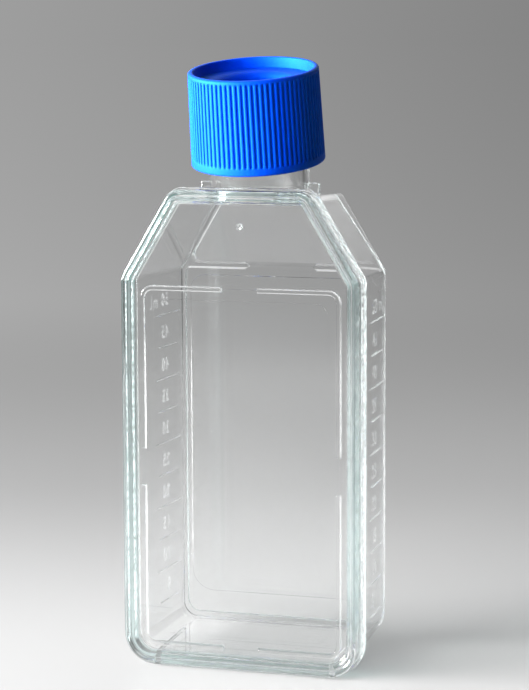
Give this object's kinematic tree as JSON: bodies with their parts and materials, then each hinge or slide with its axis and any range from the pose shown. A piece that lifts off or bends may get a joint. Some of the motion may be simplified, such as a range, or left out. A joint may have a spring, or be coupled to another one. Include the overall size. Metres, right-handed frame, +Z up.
{
  "type": "cell culture flask",
  "caption": "Small clear rectangular cell culture flask with a canted neck, graduated side walls and a ribbed blue plug-seal screw cap, standing upright.",
  "frame": {"origin": "on the surface the flask stands on, at the centre of its bounding box in X and Y", "axes": "+Z up along the flask towards the neck, +Y towards the back (growth) face, +X to the right seen from the front plate"},
  "size_m": [0.043, 0.0282, 0.1058],
  "materials": {
    "clear_polystyrene": "clear, glossy",
    "cap_plastic": "blue, satin"
  },
  "bodies": {
    "flask": {"flask_body": "clear_polystyrene", "front_plate": "clear_polystyrene"},
    "cap": {"screw_cap": "cap_plastic"}
  },
  "joints": [
    {"name": "cap_lift_off", "type": "slide", "parent": "flask", "child": "cap", "axis": [0, -0.1822, 0.9833], "range_m": [0, 0.025]}
  ]
}
